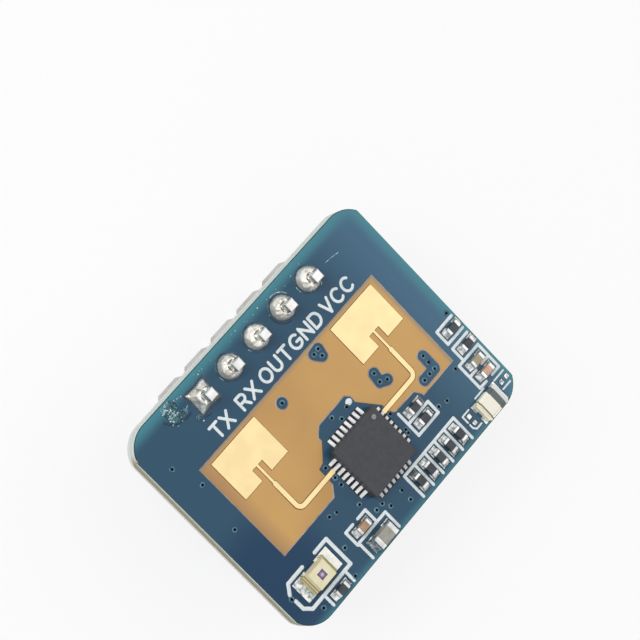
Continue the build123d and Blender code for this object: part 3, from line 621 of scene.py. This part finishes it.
def rear_runs():
    """Lines printed beside the rear parts, where they have no leads, in millimetres."""
    runs = []
    for name in sorted(nodes):
        if name.startswith(("rear_resistor", "rear_capacitor")) or name == "regulator_body":
            (left, lower, _), (right, upper, _) = [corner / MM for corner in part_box(name)]
            if (right - left > upper - lower) != (name == "regulator_body"):
                runs += [[(left, y), (right, y)] for y in (lower - REAR_GAP, upper + REAR_GAP)]
            else:
                runs += [[(x, lower), (x, upper)] for x in (left - REAR_GAP, right + REAR_GAP)]
    (left, lower, _), (right, upper, _) = [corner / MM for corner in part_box("microcontroller_leads")]
    for x, inward in ((left - REAR_GAP, REAR_CORNER), (right + REAR_GAP, -REAR_CORNER)):
        for y, along in ((lower - REAR_GAP, REAR_CORNER), (upper + REAR_GAP, -REAR_CORNER)):
            runs.append([(x + inward, y), (x, y), (x, y + along)])
    return runs


def label_strokes(width):
    """Brush strokes of all the pin labels, in millimetres."""
    strokes = []
    for label, left, right in LABEL_SPANS:
        natural = sum(LETTERS[letter][0] for letter in label) + LETTER_GAP * (len(label) - 1)
        stretch = (right - left - width) / natural
        x = left + width / 2
        for letter in label:
            letter_width, letter_strokes = LETTERS[letter]
            for points in letter_strokes:
                placed = [(x + px * stretch, LABEL_BASE + py * LABEL_HEIGHT) for px, py in points]
                strokes.append((placed, width))
            x += (letter_width + LETTER_GAP) * stretch
    return strokes


def in_window(x, y):
    """Whether a point, in millimetres, is on the rim of the bare window or of an island in it."""
    left, right, top, bottom = WINDOW
    half, patch_top = CHIP_PATCH
    return left < x < right and bottom < y < top and not (abs(x) < half and y < patch_top)


def length(name, description, millimetres):
    """A length that a user can change."""
    return FloatProperty(name=name, description=description, default=millimetres * MM, unit="LENGTH",
                         precision=5)


def colour(name, description, hex_colour):
    """A colour that a user can change."""
    return FloatVectorProperty(name=name, description=description, size=4, subtype="COLOR",
                               default=linear(hex_colour))


class RadarModuleSizes(bpy.types.PropertyGroup):
    """Sizes of the pieces made here"""

    label_stroke: length("Label stroke", "Width of the label's strokes", 0.2)
    ink_height: length("Ink height", "How far the print stands off the mask", 0.02)
    via_radius: length("Via radius", "Outer radius of a covered through hole's rim", 0.2)
    pad_radius: length("Pad radius", "Radius of the solder round a pin, at its foot", 0.85)
    joint_height: length("Joint height", "Height of the solder round a pin", 0.9)
    bubble_radius: length("Bubble radius", "Usual radius of a bubble in the flux", 0.05)
    residue_drops: IntProperty(name="Residue drops", description="Bubbles in the flux beside the first pin",
                               default=90, min=0, max=300)


class RadarModuleColours(bpy.types.PropertyGroup):
    """Colours of the finishes"""

    # The mask's lighter right end is painted sheen, its teal edges painted reflection, and its darker lower
    # left painted shade
    mask_middle: colour("Mask over copper", "Solder mask away from the edges", "#284f68")
    mask_right_sheen: colour("Mask at the right", "Solder mask towards the right end", "#3e6782")
    mask_shade: colour("Mask in shade", "Solder mask at the lower left", "#0e3a5b")
    mask_edge_sheen: colour("Mask edge sheen", "Solder mask along the edges", "#438593")
    laminate: colour("Laminate", "Bare laminate in the window", "#d1a464")
    laminate_shade: colour("Laminate shade", "Bare laminate where it is deeper", "#c3975c")
    gold: colour("Gold", "Immersion gold on the antennas", "#fde4ac")
    ink: colour("Ink", "White print", "#eef4f5")
    chip: colour("Chip", "Moulded chip bodies", "#3f4145")
    header: colour("Header", "Header plastic", "#cac7c3")


def add_floor(scene):
    """Lays a matt floor below the pins, white and mostly its own pale glow, so that the shadow is faint."""
    builder = bmesh.new()
    bmesh.ops.create_grid(builder, x_segments=2, y_segments=2, size=1.5)
    bmesh.ops.translate(builder, verts=builder.verts, vec=(0, 0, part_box("pin_out")[0].z))
    mesh = mesh_from(builder, smooth=False)
    paint, tree, shader, place = new_material("white_paint", {"Roughness": 0.9, "Specular IOR Level": 0.1})
    tree.links.new(blotches(tree, place, 60, "#fafafa", "#fcfcfc"), shader.inputs["Base Color"])
    glow = add_node(tree, "Emission", {"Color": (1, 1, 1, 1), "Strength": 1.0})
    rays = add_node(tree, "LightPath").outputs
    share = add_node(tree, "Math", {"operation": "MULTIPLY", 1: 0.8}, {0: rays["Is Camera Ray"]})
    lit = add_node(tree, "MixShader", {}, {0: share, 1: shader, 2: glow})
    tree.links.new(lit.outputs[0], tree.nodes["Material Output"].inputs["Surface"])
    mesh.materials.append(paint)
    floor = bpy.data.objects.new("studio_floor", mesh)
    scene.collection.objects.link(floor)


def add_tent(scene):
    """Lights the scene softly, and lets metal mirror a white tent that is open low down on one side."""
    world = bpy.data.worlds.new("studio")
    scene.world = world
    world.use_nodes = True
    tree = world.node_tree
    tree.nodes.clear()
    soft = add_node(tree, "Background", {"Color": (1, 1, 1, 1), "Strength": 0.5})
    white = add_node(tree, "Background", {"Color": (1, 1, 1, 1), "Strength": 1.0})
    place = add_node(tree, "TexCoord").outputs["Generated"]
    facing = add_node(tree, "VectorMath", {"operation": "DOT_PRODUCT", 1: TENT_SIDE}, {0: place})
    tent = spread(tree, facing.outputs["Value"], 0.0, 0.5, ("#6c7075", "#ffffff"))
    mirrored = add_node(tree, "Background", {"Strength": 1.0}, {"Color": tent})
    rays = add_node(tree, "LightPath").outputs
    gloss = add_node(tree, "Math", {"operation": "MAXIMUM"},
                     {0: rays["Is Glossy Ray"], 1: rays["Is Transmission Ray"]})
    bounced = add_node(tree, "MixShader", {}, {0: gloss, 1: soft, 2: mirrored})
    seen = add_node(tree, "MixShader", {}, {0: rays["Is Camera Ray"], 1: bounced, 2: white})
    add_node(tree, "OutputWorld", {}, {"Surface": seen})


class RADAR_OT_studio(bpy.types.Operator):
    """Set up the pale floor, the soft lights and the camera"""

    bl_idname = "radar.studio"
    bl_label = "Studio"

    def execute(self, context):
        scene = context.scene
        scene.view_settings.view_transform = "Standard"
        add_floor(scene)
        add_tent(scene)
        for name, place, size, energy in LAMPS:
            lamp = bpy.data.lights.new(name, "AREA")
            lamp.size = size
            lamp.energy = energy
            light = bpy.data.objects.new(name, lamp)
            light.location = place
            aim = BOARD_MIDDLE - Vector(place)
            light.rotation_euler = aim.to_track_quat("-Z", "Y").to_euler()
            scene.collection.objects.link(light)
        camera_data = bpy.data.cameras.new("camera")
        camera_data.lens = CAMERA_LENS
        camera_data.sensor_width = CAMERA_SENSOR
        camera_data.clip_start = 0.01
        camera = bpy.data.objects.new("camera", camera_data)
        camera.matrix_world = Matrix.Translation(CAMERA_PLACE) @ Matrix(CAMERA_TURN).to_4x4()
        scene.collection.objects.link(camera)
        scene.camera = camera
        return {"FINISHED"}


class RADAR_OT_board(bpy.types.Operator):
    """Finish the laminate, the solder mask and the plated copper"""

    bl_idname = "radar.board"
    bl_label = "Board and copper"

    def execute(self, context):
        colours = context.scene.radar_colours
        dress(laminate_material(colours), "circuit_board")
        dress(solder_mask_material(colours), "front_mask", "rear_mask")
        dress(gold_material("immersion_gold", colours.gold, 0.42), "antenna_left", "antenna_right")
        dress(gold_material("plated_lands", "#e9e3cf", 0.3), "rear_lands", "hole_plating")
        lands = solder_material("tinned_lands", "#828d8f", "#fbfbf6", 0.25, 0.06, 0.04, 0.6)
        calm_solder(lands, SMOOTH_LAND, "#f6f5ef")
        dress(lands, "front_lands")
        # A thin dark line of painted shade runs round the copper, and a thin pale line of painted highlight
        # along the mask's rim, on the bare laminate
        edge_shade = moulded_material("copper_edge_shade", "#7d5a2c", "#6a4a22", 0.5, 0.1)
        mesh = rim_mesh(("antenna_left", "antenna_right"), 0.055 * MM, lambda x, y: True)
        finished("antenna_edges", mesh, edge_shade, "antenna")
        edge_highlight = moulded_material("mask_edge_sheen", "#b5a59c", "#8b7f80", 0.4, 0.1)
        finished("window_edges", rim_mesh(("front_mask",), 0.08 * MM, in_window), edge_highlight, "front_mask")
        # A torn burr where the scored end meets the routed corner
        builder = bmesh.new()
        lathe(builder, spot(*BURR, BOARD_HIGH.z), sized(BURR_SHAPE, MM, MM), turns=24, wobble=0.3)
        torn = moulded_material("torn_laminate", "#cdc3a4", "#7d7354", 0.7, 0.04, 0.02)
        finished("corner_burr", mesh_from(builder), torn, "laminate")
        return {"FINISHED"}


class RADAR_OT_print(bpy.types.Operator):
    """Print the white frames, the first pin's dot and the pin labels"""

    bl_idname = "radar.print"
    bl_label = "White print"

    def execute(self, context):
        sizes = context.scene.radar_sizes
        # Screen-printed epoxy ink: white, a little blue from the mask below, matt
        ink = moulded_material("white_ink", context.scene.radar_colours.ink, "#dfe9ec", 0.6, 0.06, 0.004)
        frames = [stroke for width, runs in PRINTED_FRAMES for stroke in runs_to_strokes(runs, width)]
        mesh = brush_mesh(frames + [PIN_ONE_DOT], MASK_TOP, sizes.ink_height)
        finished("printed_frames", mesh, ink, "ink", "ink_frames")
        mesh = brush_mesh(runs_to_strokes(rear_runs(), REAR_LINE), REAR_MASK_TOP, sizes.ink_height)
        finished("rear_frames", mesh, ink, "ink")
        mesh = brush_mesh(label_strokes(sizes.label_stroke / MM), MASK_TOP, sizes.ink_height)
        finished("pin_labels", mesh, ink, "ink")
        return {"FINISHED"}


class RADAR_OT_vias(bpy.types.Operator):
    """Raise the rims of the small through holes that the mask covers"""

    bl_idname = "radar.vias"
    bl_label = "Covered vias"

    def execute(self, context):
        radius = context.scene.radar_sizes.via_radius
        # The raised rims' pale blue is a painted highlight, and the pits are painted shade: near black, matt
        # and without gloss
        rim = moulded_material("via_rim_highlight", "#5f899b", "#2a4d63", 0.1, 0.05, 0.004)
        shaded_pit = new_material("via_pit_shade", {"Base Color": linear("#060d16"), "Roughness": 0.9,
                                       "Specular IOR Level": 0.0})[0]
        builder = bmesh.new()
        for level, side in ((MASK_TOP, radius), (REAR_MASK_TOP, -radius)):
            for x, y in MASK_VIAS + ISLAND_VIAS:
                for slot, shape in enumerate((VIA_RIM, VIA_PIT)):
                    lathe(builder, spot(x, y, level), sized(shape, radius, side), turns=18, capped=False,
                          slot=slot)
        mesh = mesh_from(builder)
        mesh.materials.append(rim)
        mesh.materials.append(shaded_pit)
        finished("covered_vias", mesh, rim, "front_mask")
        return {"FINISHED"}


class RADAR_OT_header(bpy.types.Operator):
    """Finish the header, its pins and their solder"""

    bl_idname = "radar.header"
    bl_label = "Header and solder"

    def execute(self, context):
        dress(moulded_material("nylon_header", context.scene.radar_colours.header, "#b8b3b0", 0.5, 0.15),
              "header_insulator")
        dress(solder_material("tinned_pin", "#e2e1df", "#f4f4f2", 0.28, 0.1, 0.008),
              *[f"pin_{name}" for name in PIN_NAMES])
        smooth = solder_material("bright_solder", "#dcd7cd", "#fffcf4", 0.2, 0.3, 0.015, 0.6)
        rumpled = solder_material("rumpled_solder", "#cac4b9", "#fffdf6", 0.18, 0.2, 0.02, 0.75)
        # Rosin flux, spread round the joints: a clear film that looks dark over the mask
        rosin = blotched_material("rosin_flux", {"Roughness": 0.06, "IOR": 1.52}, 0.3, ("#1d3a50", "#2f5067"))
        pad = context.scene.radar_sizes.pad_radius
        height = context.scene.radar_sizes.joint_height
        for name, replaced, pins, shape, solder in (
                ("round_solder_domes", "round_solder_joints", PIN_NAMES[1:], DOME, smooth),
                ("square_pad_solder", "square_solder_joint", PIN_NAMES[:1], STAR, rumpled)):
            builder = bmesh.new()
            films = bmesh.new()
            # The star goes from round at the pin to square at its foot, and its flux is all square
            star = ring = None
            if shape is STAR:
                star = (STAR[-1][0] * pad, pad)
                ring = (0, FLUX_RING[0][0] * pad)
            for pin in pins:
                low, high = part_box(f"pin_{pin}")
                centre = Vector(((low.x + high.x) / 2, (low.y + high.y) / 2, MASK_TOP))
                lathe(builder, centre, sized(shape, pad, height), turns=96, wobble=0.1, squared=star)
                lathe(films, centre, sized(FLUX_RING, pad, MM), wobble=0.05, squared=ring, capped=False)
            finished(name, mesh_from(builder), solder, "solder", replaced)
            finished(f"{name}_flux", mesh_from(films), rosin, "front_mask")
        return {"FINISHED"}


class RADAR_OT_residue(bpy.types.Operator):
    """Leave boiled flux on the mask beside the first pin"""

    bl_idname = "radar.residue"
    bl_label = "Flux residue"

    def execute(self, context):
        sizes = context.scene.radar_sizes
        # Dried flux full of bubbles: glassy, taking the colour of the mask below
        clear = blotched_material("dried_flux", {"Roughness": 0.05, "IOR": 1.5, "Alpha": 0.7}, 0.12,
                                  ("#16384f", "#5f97a3"))
        builder = bmesh.new()
        for x, y, radius in FLUX_FILMS:
            lathe(builder, spot(x, y, MASK_TOP), sized(FLUX_FILM, radius * MM, MM), wobble=0.3)
        finished("flux_films", mesh_from(builder), clear, "front_mask")
        # Half of the bubbles crowd the first films, and the others lie along the board's edge
        # The bubbles are pale with painted reflection, and the glints are painted highlights in the same pale
        # material, beside one real scratch
        pearl = moulded_material("flux_bubbles", "#d5e6e6", "#4f8b97", 0.08, 0.03, 0.004)
        builder = bmesh.new()
        chance = random.Random(11)
        start, finish = [spot(x, y, MASK_TOP) for x, y in FLUX_LINE]
        for drop in range(sizes.residue_drops):
            x, y, reach = FLUX_FILMS[drop // 2 % 3]
            angle, away = chance.uniform(0, 2 * math.pi), 1.1 * reach * math.sqrt(chance.random())
            place = spot(x + away * math.cos(angle), y + away * math.sin(angle), MASK_TOP)
            if drop % 2 == 0:
                place = start.lerp(finish, chance.random() ** 3)
                place.y += chance.uniform(-0.3, 0.1) * MM
            radius = sizes.bubble_radius * chance.uniform(0.4, 1.4)
            lathe(builder, place, sized(BUBBLE, radius, radius), turns=12)
        finished("flux_bubbles", mesh_from(builder), pearl, "front_mask")
        # The ridges are dark with painted shade on the flux's lower sides and round the joints
        shaded_ridge = moulded_material("flux_shade_ridges", "#10283c", "#1b3a52", 0.1, 0.1, 0.002)
        finished("flux_shade_ridges", brush_mesh(FLUX_SHADE_RIDGES, MASK_TOP, 0.05 * MM), shaded_ridge, "front_mask")
        finished("flux_glints_and_scratch", brush_mesh(FLUX_GLINTS_AND_SCRATCH, MASK_TOP, 0.08 * MM), pearl, "front_mask")
        return {"FINISHED"}


class RADAR_OT_chips(bpy.types.Operator):
    """Finish the moulded chips, their leads and their solder"""

    bl_idname = "radar.chips"
    bl_label = "Chips"

    def execute(self, context):
        dress(moulded_material("moulded_epoxy", context.scene.radar_colours.chip, "#393b3f", 0.55, 0.05),
              "radar_chip_body", "microcontroller_body", "regulator_body")
        # The ejector's round mark stands by the first lead
        mark = moulded_material("ejector_mark", "#9a9894", "#84827e", 0.5, 0.05)
        builder = bmesh.new()
        sunk = MARK_DISC[-1][1] * MM
        place = spot(*CHIP_MARK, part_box("radar_chip_body")[1].z - sunk)
        lathe(builder, place, sized(MARK_DISC, MM, MM), turns=32)
        finished("chip_mark", mesh_from(builder, smooth=False), mark, "chip_plastic")
        leads = solder_material("tinned_lead", "#e4e5e6", "#ffffff", 0.25, 0.1, metallic=0.1)
        dress(leads, "radar_chip_leads", "microcontroller_leads", "regulator_leads",
              *named_nodes("_chip_solder", "controller_solder"))
        solder = solder_material("reflowed_solder", "#8a9294", "#fafaf8", 0.18, 0.07, 0.03)
        dress(solder, *named_nodes("part_solder"))
        return {"FINISHED"}


class RADAR_OT_small_parts(bpy.types.Operator):
    """Finish the chip resistors, the capacitors and the crystal"""

    bl_idname = "radar.small_parts"
    bl_label = "Resistors, capacitors and crystal"

    def execute(self, context):
        resistors = [name for name in sorted(nodes) if "resistor" in name and not name.endswith("ends")]
        dress(moulded_material("resistor_glaze", "#3c434a", "#2b3036", 0.35, 0.1), *resistors)
        rear = [name for name in sorted(nodes) if name.startswith("rear_capacitor")]
        for name, colour, shade, dressed in (
                ("tan_ceramic", "#bb9a7a", "#a38466", ["small_capacitor", *rear]),
                ("pink_ceramic", "#dcb8a0", "#cba18a", ["edge_capacitor_2"]),
                ("olive_ceramic", "#b9b091", "#a89a7c", ["edge_capacitor_1"]),
                ("grey_ceramic", "#aaa69c", "#96938b", ["large_capacitor"])):
            dress(moulded_material(name, colour, shade, 0.4, 0.08), *dressed)
        dress(solder_material("tinned_end", "#c8c8c8", "#f0f0ee", 0.3, 0.12), *named_nodes("_ends"))
        # The crystal's dark grey band near its right end is a painted reflection
        dress(banded_material("banded_lid_and_reflection", CRYSTAL_BANDS_AND_REFLECTION, 0.35), "crystal_base", "crystal_lid")
        return {"FINISHED"}


class RADAR_OT_light_sensor(bpy.types.Operator):
    """Finish the light sensor"""

    bl_idname = "radar.light_sensor"
    bl_label = "Light sensor"

    def execute(self, context):
        dress(banded_material("sensor_base_resin", SENSOR_BANDS, 0.4), "light_sensor_base",
              "light_sensor_terminals")
        low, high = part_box("light_sensor_die")
        middle = Vector(((low.x + high.x) / 2, (low.y + high.y) / 2, high.z))
        # Silicon with a violet coating, a bright bond pad in its middle and painted shade at its border
        die, tree, shader, place = new_material("silicon_die", {"Roughness": 0.25})
        reach = add_node(tree, "VectorMath", {"operation": "DISTANCE", 1: middle}, {0: place})
        tint_and_shade = spread(tree, reach.outputs["Value"], 0, DIE_REACH, DIE_TINT_AND_SHADE)
        tree.links.new(tint_and_shade, shader.inputs["Base Color"])
        dress(die, "light_sensor_die")
        # Milky epoxy, clearer over the die, whose colours and painted shade it carries up
        epoxy, tree, shader, place = new_material("milky_epoxy", {"Roughness": 0.15, "IOR": 1.4})
        off = add_node(tree, "VectorMath", {"operation": "SUBTRACT", 1: middle}, {0: place})
        flat = add_node(tree, "VectorMath", {"operation": "MULTIPLY", 1: (1, 1, 0)}, {0: off})
        reach = add_node(tree, "VectorMath", {"operation": "LENGTH"}, {0: flat})
        carried = spread(tree, reach.outputs["Value"], 0, DIE_REACH, DIE_TINT_AND_SHADE)
        off = sides_from(tree, place, middle)
        wide = add_node(tree, "Math", {"operation": "MAXIMUM"}, {0: off["X"], 1: off["Y"]})
        beside = add_node(tree, "MapRange", {"From Min": 0.24 * MM, "From Max": 0.27 * MM},
                          {"Value": wide})
        milky = blotches(tree, place, 0.6, "#f4e9bd", "#faf2d0")
        tree.links.new(mixed_colour(tree, beside, carried, milky), shader.inputs["Base Color"])
        milk = add_node(tree, "MapRange", {"To Min": 0.6, "To Max": 0.92}, {"Value": beside})
        tree.links.new(milk.outputs["Result"], shader.inputs["Alpha"])
        dress(epoxy, "light_sensor_window")
        return {"FINISHED"}


class RADAR_PT_panel(bpy.types.Panel):
    """Lists the operators that finish the radar sensor board"""

    bl_idname = "RADAR_PT_panel"
    bl_label = "Radar Module"
    bl_space_type = "VIEW_3D"
    bl_region_type = "UI"
    bl_category = "Radar Module"

    def draw(self, context):
        for operator in OPERATORS:
            self.layout.operator(operator.bl_idname)
        for name in RadarModuleSizes.__annotations__:
            self.layout.prop(context.scene.radar_sizes, name)
        for name in RadarModuleColours.__annotations__:
            self.layout.prop(context.scene.radar_colours, name)


OPERATORS = (RADAR_OT_studio, RADAR_OT_board, RADAR_OT_print, RADAR_OT_vias, RADAR_OT_header,
             RADAR_OT_residue, RADAR_OT_chips, RADAR_OT_small_parts, RADAR_OT_light_sensor)
CLASSES = (RadarModuleSizes, RadarModuleColours, *OPERATORS, RADAR_PT_panel)


def register():
    """Registers the classes and the scene's settings."""
    for cls in CLASSES:
        bpy.utils.register_class(cls)
    bpy.types.Scene.radar_sizes = PointerProperty(type=RadarModuleSizes)
    bpy.types.Scene.radar_colours = PointerProperty(type=RadarModuleColours)


def unregister():
    """Removes the classes and the scene's settings."""
    del bpy.types.Scene.radar_colours
    del bpy.types.Scene.radar_sizes
    for cls in reversed(CLASSES):
        bpy.utils.unregister_class(cls)


def main():
    """Makes the whole scene."""
    register()
    for operator in OPERATORS:
        group, name = operator.bl_idname.split(".")
        getattr(getattr(bpy.ops, group), name)()


if __name__ == "__main__":
    main()
